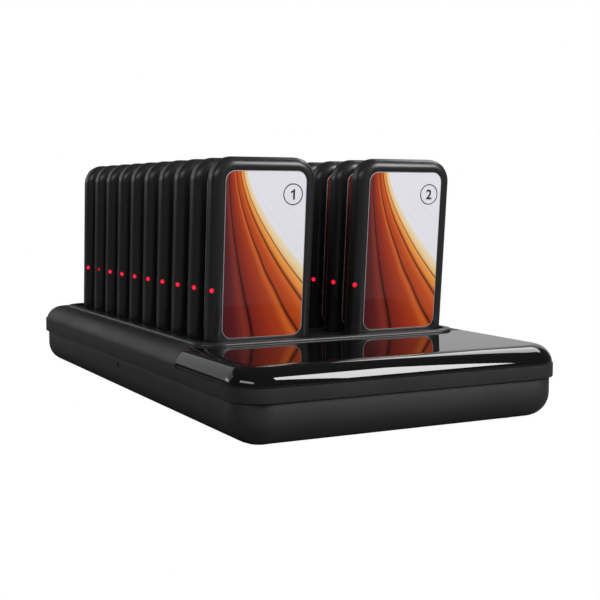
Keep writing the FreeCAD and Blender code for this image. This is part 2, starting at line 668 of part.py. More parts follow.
def build_pager_pads():
    return Part.makeCompound([
        block(side * PAD_U - PAD_HALF_WIDTH, side * PAD_U + PAD_HALF_WIDTH,
              PAD_V - PAD_HALF_DEPTH, PAD_V + PAD_HALF_DEPTH,
              PAGER_BOTTOM + 0.1, PAGER_BOTTOM + 2.6) for side in (-1, 1)])


def build_light_guide():
    lens = rod(LIGHT_RADIUS, light_point(0.5), light_point(PAGER_EDGE_ROUND))
    flange = rod(LIGHT_RADIUS + 0.7, light_point(1.2), light_point(2.0))
    return join([lens, flange])


def build_pager_board():
    face = PAGER_BOARD[3]
    chips = [block(u0, u1, face, face + height, w0, w1) for u0, u1, height, w0, w1 in PAGER_CHIPS]
    return join([block(*PAGER_BOARD), *chips])


def build_battery():
    """Pouch cell, rounded along its length."""
    cell = block(*BATTERY)
    length = BATTERY[5] - BATTERY[4]
    return cell.makeFillet(1.2, [e for e in cell.Edges if abs(e.BoundBox.ZLength - length) < 1e-6])


def build_motor():
    start, end = [V(u, MOTOR_V, MOTOR_W) for u in MOTOR_U]
    bore = rod(0.45, start.sub(V(1, 0, 0)), end.sub(V(1, 0, 0)))
    return rod(MOTOR_RADIUS, start, end).cut(bore)


def build_motor_weight():
    """Half disc on the motor's shaft, hanging below it."""
    start = V(WEIGHT_U, MOTOR_V, MOTOR_W)
    end = start.add(V(WEIGHT_LENGTH, 0, 0))
    disc = rod(MOTOR_RADIUS - 0.3, start, end)
    half = disc.common(block(-10, 0, -10, 20, MOTOR_W - 10, MOTOR_W + 0.5))
    hub = rod(1.0, start, end)
    shaft = rod(0.4, start, V(MOTOR_U[1] - 1.5, MOTOR_V, MOTOR_W))
    return join([half, hub, shaft])


def build_pager_buzzer():
    u, w = PAGER_BUZZER_UW
    front, back = BUZZER_V
    body = rod(BUZZER_RADIUS, V(u, front, w), V(u, back, w))
    return body.cut(rod(1.0, V(u, front - 1, w), V(u, front + 1.5, w)))


def build_pager_antenna():
    start, end = [V(u, COIL_V, COIL_W) for u in COIL_U]
    coil = rod(COIL_RADIUS, start, end)
    return coil.cut(rod(COIL_BORE, start.sub(V(1, 0, 0)), end.add(V(1, 0, 0))))


def main():
    save("lower_shell", build_lower_shell())
    save("upper_shell", build_upper_shell())
    save("gloss_panel", build_gloss_panel())
    save("pocket_tray", build_tray())
    save("main_board", build_board(*MAIN_BOARD, LOW_BOARD_Z))
    save("board_components", build_components())
    save("shield_can", build_shield_can())
    save("base_buzzer", build_buzzer())
    save("antenna_wire", build_antenna_wire())
    save("touch_board", build_touch_board())
    save("touch_foam", build_touch_foam())
    save("display_module", build_display())
    save("front_ribbon", build_ribbon())
    save("left_charge_board", build_charge_board(-ROW_X))
    save("right_charge_board", build_charge_board(ROW_X))
    save("left_charge_pins", build_charge_pins(-ROW_X))
    save("right_charge_pins", build_charge_pins(ROW_X))
    save("power_board", build_board(*POWER_BOARD, LOW_BOARD_Z))
    save("power_leads", build_power_leads())
    save("dc_inlet", build_inlet())
    save("switch_frame", build_switch_frame())
    save("switch_rocker", build_switch_rocker())
    save("base_screws", build_case_screws())
    save("board_screws", build_board_screws())
    save("rubber_feet", build_feet())

    front, rear = build_pager_front(), build_pager_rear()
    window = label_outline(0, WINDOW_THICKNESS, 0)
    label = label_outline(WINDOW_THICKNESS, WINDOW_THICKNESS + LABEL_SHEET, 0)
    guide, pads = build_light_guide(), build_pager_pads()
    board, battery = build_pager_board(), build_battery()
    pieces = {
        "front_shell": front, "rear_cover": rear, "window": window, "label": label,
        "light_guide": guide, "charge_pads": pads, "board": board, "battery": battery,
        "motor": build_motor(), "motor_weight": build_motor_weight(),
        "buzzer": build_pager_buzzer(), "antenna": build_pager_antenna(),
        "screws": build_pager_screws(),
    }
    whole = [front, rear, window, guide, pads, board, battery]
    for number, x, y in pager_places():
        if number == 1:
            for name, shape in pieces.items():
                save(f"pager_01_{name}", placed(shape, x, y))
        else:
            save(f"pager_{number:02d}", *[placed(shape, x, y) for shape in whole])


main()
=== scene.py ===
import json
import math

import bmesh
import bpy
from mathutils import Matrix, Vector


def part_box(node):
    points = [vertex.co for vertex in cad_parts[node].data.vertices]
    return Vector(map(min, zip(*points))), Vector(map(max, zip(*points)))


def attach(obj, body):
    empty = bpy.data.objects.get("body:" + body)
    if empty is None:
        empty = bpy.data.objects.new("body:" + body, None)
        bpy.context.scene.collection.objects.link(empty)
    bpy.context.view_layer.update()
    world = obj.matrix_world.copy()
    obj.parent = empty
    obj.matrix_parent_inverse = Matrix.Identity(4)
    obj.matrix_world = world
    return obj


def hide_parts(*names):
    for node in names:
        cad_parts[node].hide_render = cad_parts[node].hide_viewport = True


# The looks of a guest pager charging set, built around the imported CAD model.
# Everything is in metres. X runs across the base, Y from front to back, Z up.
# Each part of a pager is one mesh, shared by all the pagers and set in place by pager_place().

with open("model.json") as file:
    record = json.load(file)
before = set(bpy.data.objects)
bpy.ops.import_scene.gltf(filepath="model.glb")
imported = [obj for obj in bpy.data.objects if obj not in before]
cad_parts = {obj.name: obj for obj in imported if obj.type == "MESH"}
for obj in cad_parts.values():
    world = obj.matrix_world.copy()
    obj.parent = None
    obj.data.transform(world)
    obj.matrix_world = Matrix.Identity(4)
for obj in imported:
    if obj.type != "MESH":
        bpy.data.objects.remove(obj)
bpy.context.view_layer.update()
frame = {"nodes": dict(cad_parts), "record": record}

MM = 0.001

# ---- Driving sizes, read from the frame ----
BAND_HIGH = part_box("upper_shell")[1]
HALF_WIDTH = BAND_HIGH.x
HALF_DEPTH = BAND_HIGH.y
TOP_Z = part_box("gloss_panel")[1].z
PANEL_LOW_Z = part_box("gloss_panel")[0].z
SHELL_BOTTOM_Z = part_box("lower_shell")[0].z
TRAY_LOW, TRAY_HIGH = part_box("pocket_tray")

# ---- Base details ----
BASE_CORNER = 20 * MM
PARTING_Z = 25 * MM
CREASE_Z = 34.6 * MM
LOWER_INSET = 2 * MM
BOTTOM_ROUND = 13.6 * MM
SHOULDER_INSET = 0.5 * MM
SHOULDER_ROUND = 11 * MM
PANEL_THICKNESS = 2 * MM
SHELL_WALL = 3.4 * MM
LOWER_WALL = 2.4 * MM
TRAY_CORNER = 15 * MM
TRAY_FLANGE = 1.8 * MM
PANEL_REAR_Y = -98 * MM
PANEL_CORNER = 3 * MM
SEAM = 0.12 * MM
CASE_SCREWS = [(x * MM, y * MM) for x in (-87.5, 87.5) for y in (-70, 30, 130)]
CASE_SCREWS += [(-70 * MM, -165 * MM), (70 * MM, -165 * MM)]
SCREW_WELL_RADIUS = 3.2 * MM
INLET_RADIUS, INLET_Z = 3.4 * MM, 17 * MM
RESET_HOLE_RADIUS, RESET_HOLE_Y, RESET_HOLE_Z = 1.4 * MM, 4 * MM, 20.5 * MM
SWITCH_BEZEL = 0.8 * MM

# ---- Pager details, in the pager's own axes ----
LEAN = math.radians(4.8)
ROW_X = 45.6 * MM
PAGER_PITCH = 25.7 * MM
FIRST_PAGER_Y = -94.4 * MM
LABEL_BOTTOM_Z = 45.9 * MM
PAGER_HALF = 32 * MM
PAGER_DEPTH = 12.6 * MM
PAGER_LOW = -15 * MM
PAGER_TOP = 101.2 * MM
PAGER_CORNER = 13 * MM
PAGER_ROUND = 5 * MM
PAGER_WALL = 1.8 * MM
SPLIT = 7.6 * MM
LABEL_HALF = 25 * MM
LABEL_HEIGHT = 94.1 * MM
LABEL_CORNER = 6 * MM
LIGHT_ANGLE = math.radians(40)
LIGHT_HEIGHT = 27.4 * MM
LIGHT_RADIUS = 1.5 * MM
PAGER_SCREWS = [(u * MM, w * MM) for u in (-23.5, 23.5) for w in (-8.5, 94.5)]
PAD_U, PAD_V = 10 * MM, 6.2 * MM
PAD_HALF_WIDE, PAD_HALF_DEEP = 3 * MM, 1.2 * MM
DIM_LIGHTS = (17,)
INK = 0.03 * MM
RING_INSIDE, RING_OUTSIDE = 5.55 * MM, 6.15 * MM
# A figure 1 with its flag, in millimetres about its middle.
DIGIT_ONE = [(0.35, 2.95), (1.15, 2.95), (1.15, -2.95), (0.0, -2.95),
             (0.0, 1.2), (-1.35, 0.55), (-1.35, 1.6), (-0.3, 2.2)]
CORNER_STEPS = 10

# ---- Studio ----
LIGHT_DISTANCE = 4.0
ROOM_GREY = 0.07
FLOOR_GREY = 0.12
CAMERA_PLACE = (-0.3214, -0.6750, 0.1256)
CAMERA_TURN, CAMERA_DIP = 27.34, 5.215
CAMERA_LENS = 68.39


# ---- Mesh tools ----

def corner_ring(x0, x1, y0, y1, radius, steps=CORNER_STEPS):
    """Points of a rounded rectangle, anticlockwise, the same number at each corner."""
    radius = max(radius, 0.05 * MM)
    centres = [(x1 - radius, y0 + radius, -90), (x1 - radius, y1 - radius, 0),
               (x0 + radius, y1 - radius, 90), (x0 + radius, y0 + radius, 180)]
    points = []
    for cx, cy, start in centres:
        for k in range(steps + 1):
            a = math.radians(start + 90 * k / steps)
            points.append((cx + radius * math.cos(a), cy + radius * math.sin(a)))
    return points


def skin(name, rings, caps=True, closed=False):
    """A mesh of quads through the rings, capped at both ends or closed on itself."""
    count = len(rings[0])
    points = [p for ring in rings for p in ring]
    faces = []
    spans = len(rings) if closed else len(rings) - 1
    for i in range(spans):
        a, b = i * count, ((i + 1) % len(rings)) * count
        for k in range(count):
            n = (k + 1) % count
            faces.append((a + k, a + n, b + n, b + k))
    if caps and not closed:
        faces.append(tuple(reversed(range(count))))
        faces.append(tuple(range((len(rings) - 1) * count, len(rings) * count)))
    mesh = bpy.data.meshes.new(name)
    mesh.from_pydata(points, [], faces)
    tidy(mesh)
    return mesh


def tidy(mesh, angle=32):
    """Outward normals, smooth shading and sharp edges past the angle."""
    bm = bmesh.new()
    bm.from_mesh(mesh)
    bmesh.ops.recalc_face_normals(bm, faces=bm.faces)
    if bm.calc_volume(signed=True) < 0:
        bmesh.ops.reverse_faces(bm, faces=bm.faces)
    bm.to_mesh(mesh)
    bm.free()
    mesh.shade_smooth()
    mesh.set_sharp_from_angle(angle=math.radians(angle))
    mesh.update()


def add(name, mesh, materials=()):
    """A new piece in the scene. A mesh that already has its materials keeps them."""
    piece = bpy.data.objects.new(name, mesh)
    bpy.context.scene.collection.objects.link(piece)
    if not mesh.materials:
        for material in materials:
            mesh.materials.append(material)
    return piece


def turned(name, profile, centre, axis="Z", steps=40, closed=False):
    """A lathed mesh about an axis through centre. profile lists (radius, height) points."""
    rings = []
    for radius, height in profile:
        ring = []
        for k in range(steps):
            a = 2 * math.pi * k / steps
            u, v = radius * math.cos(a), radius * math.sin(a)
            offset = {"Z": (u, v, height), "Y": (v, height, u), "X": (height, u, v)}[axis]
            ring.append(Vector(centre) + Vector(offset))
        rings.append(ring)
    return skin(name, rings, closed=closed)


def merged(name, meshes):
    """One mesh out of several, each left as a separate island."""
    bm = bmesh.new()
    for mesh in meshes:
        bm.from_mesh(mesh)
        bpy.data.meshes.remove(mesh)
    mesh = bpy.data.meshes.new(name)
    bm.to_mesh(mesh)
    bm.free()
    tidy(mesh)
    return mesh


def cut(mesh, tool, operation="DIFFERENCE"):
    """mesh with the tool mesh taken away or kept, as a new mesh."""
    subject = bpy.data.objects.new("subject", mesh)
    cutter = bpy.data.objects.new("cutter", tool)
    for o in (subject, cutter):
        bpy.context.scene.collection.objects.link(o)
    modifier = subject.modifiers.new("cut", "BOOLEAN")
    modifier.object, modifier.operation, modifier.solver = cutter, operation, "EXACT"
    bpy.context.view_layer.update()
    evaluated = subject.evaluated_get(bpy.context.evaluated_depsgraph_get())
    result = bpy.data.meshes.new_from_object(evaluated)
    result.name = mesh.name
    for o in (subject, cutter):
        bpy.data.objects.remove(o)
    bpy.data.meshes.remove(tool)
    tidy(result)
    return result


def prism(name, outline, z0, z1):
    """A flat outline raised from z0 to z1."""
    return skin(name, [[(x, y, z) for x, y in outline] for z in (z0, z1)])


# ---- Materials ----

def material(name, color, roughness, **values):
    made = bpy.data.materials.new(name)
    made.use_nodes = True
    shader = made.node_tree.nodes["Principled BSDF"]
    shader.inputs["Base Color"].default_value = (*color, 1)
    shader.inputs["Roughness"].default_value = roughness
    for key, value in values.items():
        shader.inputs[key.replace("_", " ")].default_value = value
    return made, made.node_tree, shader


def node(tree, kind, inputs=(), **settings):
    made = tree.nodes.new(kind)
    for key, value in settings.items():
        setattr(made, key, value)
    for key, value in dict(inputs).items():
        if isinstance(value, bpy.types.NodeSocket):
            tree.links.new(value, made.inputs[key])
        else:
            made.inputs[key].default_value = value
    return made


def maths(tree, operation, *values, clamp=False):
    made = tree.nodes.new("ShaderNodeMath")
    made.operation, made.use_clamp = operation, clamp
    for i, value in enumerate(values):
        if isinstance(value, bpy.types.NodeSocket):
            tree.links.new(value, made.inputs[i])
        else:
            made.inputs[i].default_value = value
    return made.outputs[0]


def grained(name, color, roughness, spread, grain_size, grain_depth, tint=0.15, **values):
    """Moulded plastic: a fine grain, slow changes of gloss and a little unevenness of colour."""
    made, tree, shader = material(name, color, roughness, **values)
    place = node(tree, "ShaderNodeTexCoord").outputs["Object"]
    grain = node(tree, "ShaderNodeTexNoise", {"Vector": place, "Scale": 1 / grain_size, "Detail": 3.0})
    slow = node(tree, "ShaderNodeTexNoise", {"Vector": place, "Scale": 22.0, "Detail": 4.0})
    gloss = node(tree, "ShaderNodeMapRange", {
        "Value": slow.outputs["Fac"], "From Min": 0.3, "From Max": 0.7,
        "To Min": roughness - spread, "To Max": roughness + spread})
    tree.links.new(gloss.outputs[0], shader.inputs["Roughness"])
    bump = node(tree, "ShaderNodeBump", {
        "Height": grain.outputs["Fac"], "Strength": 1.0, "Distance": grain_depth})
    tree.links.new(bump.outputs[0], shader.inputs["Normal"])
    ramp = node(tree, "ShaderNodeValToRGB", {"Fac": slow.outputs["Fac"]})
    ramp.color_ramp.elements[0].position, ramp.color_ramp.elements[1].position = 0.3, 0.7
    ramp.color_ramp.elements[0].color = (*[c * (1 - tint) for c in color], 1)
    ramp.color_ramp.elements[1].color = (*[c * (1 + tint) for c in color], 1)
    tree.links.new(ramp.outputs[0], shader.inputs["Base Color"])
    return made


def brushed(name, color, roughness):
    """Plated metal with fine scratches along one way."""
    made, tree, shader = material(name, color, roughness, Metallic=1.0)
    place = node(tree, "ShaderNodeTexCoord").outputs["Object"]
    long_way = node(tree, "ShaderNodeMapping", {"Vector": place, "Scale": (9000.0, 600.0, 9000.0)})
    streak = node(tree, "ShaderNodeTexNoise", {"Vector": long_way.outputs[0], "Scale": 1.0, "Detail": 2.0})
    rough = node(tree, "ShaderNodeMapRange", {
        "Value": streak.outputs["Fac"], "To Min": roughness * 0.7, "To Max": roughness * 1.4})
    tree.links.new(rough.outputs[0], shader.inputs["Roughness"])
    return made


def polished(name, color, roughness):
    """Polished black plastic with the faintest waves and fine dust marks."""
    made, tree, shader = material(name, color, roughness, IOR=1.5)
    place = node(tree, "ShaderNodeTexCoord").outputs["Object"]
    wave = node(tree, "ShaderNodeTexNoise", {"Vector": place, "Scale": 60.0, "Detail": 1.0})
    rough = node(tree, "ShaderNodeMapRange", {
        "Value": wave.outputs["Fac"], "From Min": 0.35, "From Max": 0.75,
        "To Min": roughness, "To Max": roughness * 2.2})
    tree.links.new(rough.outputs[0], shader.inputs["Roughness"])
    return made


def circuit(name):
    """Solder mask over tracks, with tinned pads."""
    made, tree, shader = material(name, (0.02, 0.13, 0.05), 0.35)
    place = node(tree, "ShaderNodeTexCoord").outputs["Object"]
    tracks = node(tree, "ShaderNodeTexBrick", {
        "Vector": place, "Scale": 160.0, "Mortar Size": 0.03, "Color1": (0.012, 0.11, 0.04, 1),
        "Color2": (0.02, 0.15, 0.055, 1), "Mortar": (0.05, 0.26, 0.1, 1)})
    pads = node(tree, "ShaderNodeTexVoronoi", {"Vector": place, "Scale": 320.0})
    dots = maths(tree, "LESS_THAN", pads.outputs["Distance"], 0.18)
    mixed = node(tree, "ShaderNodeMix", {0: dots}, data_type="RGBA")
    tree.links.new(tracks.outputs["Color"], mixed.inputs[6])
    mixed.inputs[7].default_value = (0.6, 0.6, 0.56, 1)
    tree.links.new(mixed.outputs[2], shader.inputs["Base Color"])
    return made


LABEL_STOPS = [
    # place along the fan, colour: deep maroon at the left to pale lavender at the right
    (0.000, (0.060, 0.010, 0.014)), (0.090, (0.11, 0.014, 0.016)), (0.150, (0.22, 0.030, 0.020)),
    (0.178, (0.17, 0.022, 0.014)), (0.190, (0.022, 0.004, 0.005)), (0.215, (0.20, 0.020, 0.012)),
    (0.300, (0.30, 0.030, 0.012)), (0.390, (0.40, 0.048, 0.012)), (0.445, (0.62, 0.125, 0.020)),
    (0.462, (0.40, 0.060, 0.012)), (0.474, (0.030, 0.006, 0.005)), (0.495, (0.42, 0.055, 0.012)),
    (0.560, (0.50, 0.072, 0.013)), (0.625, (0.66, 0.130, 0.022)), (0.650, (0.050, 0.010, 0.006)),
    (0.668, (0.55, 0.120, 0.020)), (0.690, (0.80, 0.270, 0.050)), (0.755, (0.86, 0.350, 0.080)),
    (0.775, (0.16, 0.055, 0.018)), (0.790, (0.84, 0.500, 0.200)), (0.840, (0.86, 0.640, 0.360)),
    (0.918, (0.84, 0.730, 0.520)), (0.945, (0.82, 0.815, 0.860)), (1.000, (0.81, 0.805, 0.860)),
]
FAN_OFFSET, FAN_SPREAD, FAN_POWER, FAN_RANGE = 0.02, 6.0, 1.5, 0.30


def printed_label(name):
    """Flowing bands that fan out from the top left corner of the sheet. U runs across, V up."""
    made, tree, shader = material(name, (0.5, 0.2, 0.1), 0.06, IOR=1.45)
    place = node(tree, "ShaderNodeUVMap", uv_map="UVMap").outputs[0]
    split = node(tree, "ShaderNodeSeparateXYZ", {0: place})
    across, up = split.outputs[0], split.outputs[1]
    wobble = node(tree, "ShaderNodeTexNoise", {"Vector": place, "Scale": 2.2, "Detail": 1.0})
    drop = maths(tree, "SUBTRACT", 1.0, up)
    bend = maths(tree, "POWER", maths(tree, "MAXIMUM", drop, 0.0), FAN_POWER)
    width = maths(tree, "MULTIPLY_ADD", bend, FAN_SPREAD, 1.0)
    fan = maths(tree, "DIVIDE", maths(tree, "ADD", across, FAN_OFFSET), width)
    fan = maths(tree, "MULTIPLY_ADD", wobble.outputs["Fac"], 0.012, maths(tree, "SUBTRACT", fan, 0.006))
    ramp = node(tree, "ShaderNodeValToRGB", {"Fac": maths(tree, "DIVIDE", fan, FAN_RANGE)})
    elements = ramp.color_ramp.elements
    for i, (at, color) in enumerate(LABEL_STOPS):
        stop = elements[i] if i < 2 else elements.new(at)
        stop.position, stop.color = at, (*color, 1)
    streaks = node(tree, "ShaderNodeCombineXYZ", {0: maths(tree, "MULTIPLY", fan, 90.0), 1: up})
    thread = node(tree, "ShaderNodeTexNoise", {"Vector": streaks.outputs[0], "Scale": 2.0, "Detail": 2.0})
    shade = node(tree, "ShaderNodeMapRange", {
        "Value": thread.outputs["Fac"], "From Min": 0.3, "From Max": 0.7, "To Min": 0.97, "To Max": 1.03})
    tinted = node(tree, "ShaderNodeVectorMath", {0: ramp.outputs[0]}, operation="SCALE")
    tree.links.new(shade.outputs[0], tinted.inputs["Scale"])
    tree.links.new(tinted.outputs[0], shader.inputs["Base Color"])
    return made


def glowing(name, strength):
    """Clear red lens with a light behind it, hottest in its middle. U runs from the middle outwards."""
    made, tree, shader = material(name, (0.30, 0.002, 0.006), 0.12)
    place = node(tree, "ShaderNodeTexCoord").outputs["Object"]
    cloud = node(tree, "ShaderNodeTexNoise", {"Vector": place, "Scale": 700.0, "Detail": 1.0})
    outward = node(tree, "ShaderNodeSeparateXYZ", {
        0: node(tree, "ShaderNodeUVMap", uv_map="UVMap").outputs[0]}).outputs[0]
    uneven = maths(tree, "MULTIPLY_ADD", cloud.outputs["Fac"], 0.1, maths(tree, "SUBTRACT", outward, 0.05))
    ramp = node(tree, "ShaderNodeValToRGB", {"Fac": uneven})
    elements = ramp.color_ramp.elements
    elements[0].position, elements[0].color = 0.2, (1.0, 0.012, 0.035, 1)
    elements[1].position, elements[1].color = 1.0, (0.030, 0.0, 0.002, 1)
    middle = elements.new(0.65)
    middle.color = (0.36, 0.003, 0.012, 1)
    tree.links.new(ramp.outputs[0], shader.inputs["Emission Color"])
    shader.inputs["Emission Strength"].default_value = strength
    return made


def make_materials():
    made = {
        "base_plastic": grained("base_plastic", (0.016, 0.016, 0.0165), 0.50, 0.05, 0.35 * MM, 0.012 * MM),
        "panel_gloss": polished("panel_gloss", (0.0035, 0.0035, 0.004), 0.02),
        "tray_plastic": grained("tray_plastic", (0.014, 0.014, 0.015), 0.34, 0.05, 0.3 * MM, 0.006 * MM),
        "pager_plastic": grained("pager_plastic", (0.011, 0.011, 0.012), 0.30, 0.05, 0.25 * MM, 0.004 * MM),
        # pager_window is light grey: a painted highlight for light caught by the clear window edge, over
        # the bevel's real gloss.
        "pager_window": grained("pager_window", (0.30, 0.29, 0.30), 0.15, 0.03, 0.5 * MM, 0.001 * MM),
        "label_print": printed_label("label_print"),
        "label_ink": grained("label_ink", (0.02, 0.018, 0.02), 0.4, 0.05, 0.2 * MM, 0.001 * MM),
        "light_red": glowing("light_red", 2.6),
        "light_dim": glowing("light_dim", 0.25),
        "circuit_board": circuit("circuit_board"),
        "chip_epoxy": grained("chip_epoxy", (0.02, 0.02, 0.02), 0.5, 0.06, 0.1 * MM, 0.004 * MM),
        "plated_steel": brushed("plated_steel", (0.62, 0.62, 0.62), 0.25),
        "wire_cover": grained("wire_cover", (0.35, 0.02, 0.02), 0.4, 0.05, 0.3 * MM, 0.003 * MM),
        "foam": grained("foam", (0.05, 0.05, 0.05), 0.9, 0.05, 0.5 * MM, 0.08 * MM),
        "ribbon": grained("ribbon", (0.5, 0.5, 0.48), 0.4, 0.05, 0.6 * MM, 0.01 * MM),
        "gold_contact": brushed("gold_contact", (0.83, 0.62, 0.28), 0.2),
        "inlet_plastic": grained("inlet_plastic", (0.012, 0.012, 0.012), 0.4, 0.05, 0.2 * MM, 0.004 * MM),
        "rocker_plastic": grained("rocker_plastic", (0.02, 0.02, 0.02), 0.22, 0.04, 0.2 * MM, 0.003 * MM),
        "screw_steel": brushed("screw_steel", (0.5, 0.5, 0.51), 0.3),
        "foot_rubber": grained("foot_rubber", (0.016, 0.016, 0.016), 0.85, 0.06, 0.4 * MM, 0.05 * MM),
        "cell_foil": brushed("cell_foil", (0.7, 0.7, 0.72), 0.3),
        "copper_coil": brushed("copper_coil", (0.72, 0.38, 0.2), 0.25),
    }
    return made


# ---- Base ----

def base_ring(inset, z):
    w, d = HALF_WIDTH - inset, HALF_DEPTH - inset
    return [(x, y, z) for x, y in corner_ring(-w, w, -d, d, BASE_CORNER - inset)]


def tray_ring(inset, z):
    return [(x, y, z) for x, y in corner_ring(
        TRAY_LOW.x + inset, TRAY_HIGH.x - inset, TRAY_LOW.y + inset, TRAY_HIGH.y - inset,
        TRAY_CORNER - inset)]


def shoulder_rings(depth, low_z, steps=14):
    """Rings up the rounded shoulder, with the skin peeled off by depth."""
    radius = SHOULDER_ROUND - depth
    middle_in, middle_z = SHOULDER_INSET + SHOULDER_ROUND, TOP_Z - SHOULDER_ROUND
    start = math.asin(max(0, low_z - middle_z) / radius)
    rings = [] if start > 0 else [base_ring(SHOULDER_INSET + depth, low_z)]
    for k in range(steps + 1):
        a = start + (math.pi / 2 - start) * k / steps
        rings.append(base_ring(middle_in - radius * math.cos(a), middle_z + radius * math.sin(a)))
    rings.append(base_ring(middle_in + 0.6 * MM, TOP_Z - depth))
    return rings


def top_shell_full():
    """The whole upper shell, before the panel's place is cut away."""
    rings = [base_ring(0.6 * MM, PARTING_Z), base_ring(0.15 * MM, PARTING_Z + 0.25 * MM),
             base_ring(0, PARTING_Z + 0.8 * MM), base_ring(0, CREASE_Z - 0.5 * MM),
             base_ring(0.06 * MM, CREASE_Z - 0.15 * MM), base_ring(0.22 * MM, CREASE_Z)]
    outside = shoulder_rings(0, CREASE_Z + 0.02 * MM)
    inside = shoulder_rings(SHELL_WALL, PARTING_Z, steps=6)
    rings += outside + [tray_ring(TRAY_FLANGE, TOP_Z), tray_ring(TRAY_FLANGE, TOP_Z - SHELL_WALL)]
    rings += list(reversed(inside))
    return skin("upper_case", rings, closed=True)


def panel_block(name, proud):
    """The panel's layer over the whole shoulder and top, thicker outside by proud."""
    low_z = PANEL_LOW_Z + 0.05 * MM
    if proud:
        outside = [base_ring(-proud, low_z), base_ring(-proud, TOP_Z + proud)]
        mouth = [tray_ring(TRAY_FLANGE, TOP_Z + proud)]
    else:
        edge = 0.3 * MM
        arc = shoulder_rings(0, low_z + edge)
        outside = [base_ring(SHOULDER_INSET + edge, low_z),
                   base_ring(SHOULDER_INSET + edge / 3, low_z + edge / 3)] + arc
        mouth = [tray_ring(TRAY_FLANGE, TOP_Z)]
    inside = shoulder_rings(PANEL_THICKNESS, low_z, steps=8)
    mouth.append(tray_ring(TRAY_FLANGE, TOP_Z - PANEL_THICKNESS))
    return skin(name, outside + mouth + list(reversed(inside)), closed=True)


def panel_region(name, gap):
    """The space ahead of the panel's rear edge, drawn back by gap, with its lower corners rounded."""
    far, rear = 1.2 * HALF_DEPTH, PANEL_REAR_Y - gap
    low_z = PANEL_LOW_Z - 0.02 * MM
    profile = [(-far, low_z)]
    for k in range(9):
        a = math.radians(-90 + 90 * k / 8)
        profile.append((rear - PANEL_CORNER * (1 - math.cos(a)), low_z + PANEL_CORNER * (1 + math.sin(a))))
    profile += [(rear, TOP_Z + 20 * MM), (-far, TOP_Z + 20 * MM)]
    return skin(name, [[(x, y, z) for y, z in profile] for x in (-far, far)])


def build_upper_case(made):
    """Matte shell with the overhanging band, the round shoulder and the step that takes the panel."""
    layer = cut(panel_block("layer", 2 * MM), panel_region("region", 0), "INTERSECT")
    mesh = cut(top_shell_full(), layer)
    piece = add("upper_case", mesh, [made["base_plastic"]])
    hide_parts("upper_shell")
    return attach(piece, "base")


def build_gloss_cover(made):
    """The polished cover, with a fine seam all round."""
    mesh = cut(panel_block("gloss_cover", 0), panel_region("region", SEAM), "INTERSECT")
    piece = add("gloss_cover", mesh, [made["panel_gloss"]])
    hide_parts("gloss_panel")
    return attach(piece, "base")


def build_lower_case(made):
    """Tub with a rounded bottom edge, screw wells, connector and switch openings."""
    rings = []
    steps = 12
    rings.append(base_ring(LOWER_INSET + BOTTOM_ROUND + 1 * MM, SHELL_BOTTOM_Z))
    for k in range(steps + 1):
        a = math.radians(90 * k / steps)
        rings.append(base_ring(LOWER_INSET + BOTTOM_ROUND * (1 - math.sin(a)),
                               SHELL_BOTTOM_Z + BOTTOM_ROUND * (1 - math.cos(a))))
    rings += [base_ring(LOWER_INSET, PARTING_Z - 0.6 * MM), base_ring(LOWER_INSET + 0.25 * MM, PARTING_Z)]
    wall = LOWER_INSET + LOWER_WALL
    inner, bend_z = BOTTOM_ROUND - LOWER_WALL, SHELL_BOTTOM_Z + BOTTOM_ROUND
    rings += [base_ring(wall, PARTING_Z), base_ring(wall, bend_z)]
    for k in range(1, 7):
        a = math.radians(90 * k / 6)
        rings.append(base_ring(wall + inner * (1 - math.cos(a)), bend_z - inner * math.sin(a)))
    mesh = skin("lower_case", rings)
    wells = [turned("well", [(SCREW_WELL_RADIUS, 0), (SCREW_WELL_RADIUS, 10 * MM)], (x, y, 0))
             for x, y in CASE_SCREWS]
    mesh = cut(mesh, merged("wells", wells))
    inlet_low, inlet_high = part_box("dc_inlet")
    switch_low, switch_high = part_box("switch_frame")
    reach = 12 * MM
    openings = [
        turned("inlet", [(INLET_RADIUS, -reach), (INLET_RADIUS, reach)],
               ((inlet_low.x + inlet_high.x) / 2, HALF_DEPTH, INLET_Z), "Y"),
        turned("reset", [(RESET_HOLE_RADIUS, -9 * MM), (RESET_HOLE_RADIUS, 9 * MM)],
               (-HALF_WIDTH, RESET_HOLE_Y, RESET_HOLE_Z), "X", 20),
        prism("switch", corner_ring(switch_low.x + SWITCH_BEZEL, switch_high.x - SWITCH_BEZEL,
                                    HALF_DEPTH - reach, HALF_DEPTH + reach, 0.1 * MM, 1),
              switch_low.z + SWITCH_BEZEL, switch_high.z - SWITCH_BEZEL)]
    mesh = cut(mesh, merged("openings", openings))
    piece = add("lower_case", mesh, [made["base_plastic"]])
    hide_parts("lower_shell")
    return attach(piece, "base")


# ---- Pagers ----

def slab_ring(inset, y, corner=None):
    """The pager's outline, inset all round, at depth y behind its face."""
    points = corner_ring(-PAGER_HALF + inset, PAGER_HALF - inset, PAGER_LOW + inset, PAGER_TOP - inset,
                         PAGER_CORNER - inset if corner is None else corner)
    return [(x, y, z) for x, z in points]


def label_ring(inset, y):
    points = corner_ring(-LABEL_HALF + inset, LABEL_HALF - inset, inset, LABEL_HEIGHT - inset,
                         LABEL_CORNER - inset)
    return [(x, y, z) for x, z in points]


def edge_rings(sign, face, steps=8):
    """Rings round the edge from the side wall to the face at depth face."""
    rings = []
    for k in range(steps + 1):
        a = math.radians(90 * k / steps)
        rings.append(slab_ring(PAGER_ROUND * (1 - math.cos(a)),
                               face + sign * PAGER_ROUND * (1 - math.sin(a))))
    return rings


